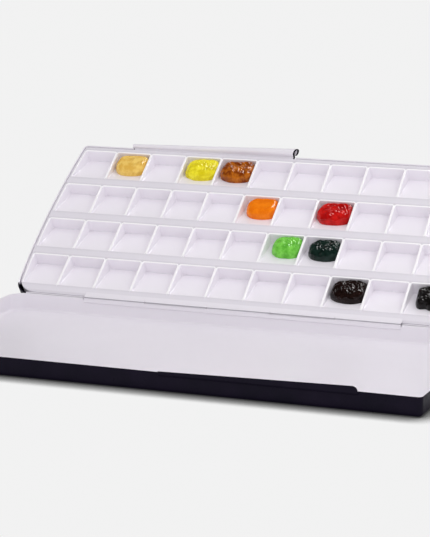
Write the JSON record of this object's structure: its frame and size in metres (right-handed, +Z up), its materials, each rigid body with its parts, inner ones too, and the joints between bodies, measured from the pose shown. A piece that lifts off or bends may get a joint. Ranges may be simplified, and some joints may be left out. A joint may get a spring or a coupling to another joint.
{
  "type": "folding watercolour palette",
  "caption": "Folding enamelled metal palette: a flat mixing tray hinged along its long side to a tray with a moulded insert of ramped paint wells, some holding squeezed paint.",
  "frame": {"origin": "centre of the mixing tray's flat underside", "axes": "+X along the hinge, to the right as the user sees it; +Y from the mixing tray towards the hinge and the well tray; +Z up"},
  "size_m": [0.3074, 0.2584, 0.0916],
  "materials": {
    "black_enamel": "gloss",
    "white_enamel": "gloss",
    "white_plastic": "satin",
    "steel_wire": "satin",
    "paint_ochre": "gloss",
    "paint_lemon": "gloss",
    "paint_sienna": "gloss",
    "paint_orange": "gloss",
    "paint_red": "gloss",
    "paint_light_green": "gloss",
    "paint_dark_green": "gloss",
    "paint_umber": "gloss",
    "paint_black": "gloss"
  },
  "bodies": {
    "mixing_half": {"mixing_tray": "white_enamel", "mixing_leaf": "white_enamel", "hinge_pin": "steel_wire"},
    "well_half": {"well_tray": "black_enamel", "well_leaf": "white_enamel", "well_insert": "white_plastic", "paint_ochre": "paint_ochre", "paint_lemon": "paint_lemon", "paint_sienna": "paint_sienna", "paint_orange": "paint_orange", "paint_red": "paint_red", "paint_light_green": "paint_light_green", "paint_dark_green": "paint_dark_green", "paint_umber": "paint_umber", "paint_black": "paint_black"}
  },
  "joints": [
    {"name": "hinge", "type": "hinge", "parent": "mixing_half", "child": "well_half", "pos_m": [0, 0.0686, 0.01175], "axis": [1, 0, 0], "range_deg": [-33.1, 146.9]}
  ]
}
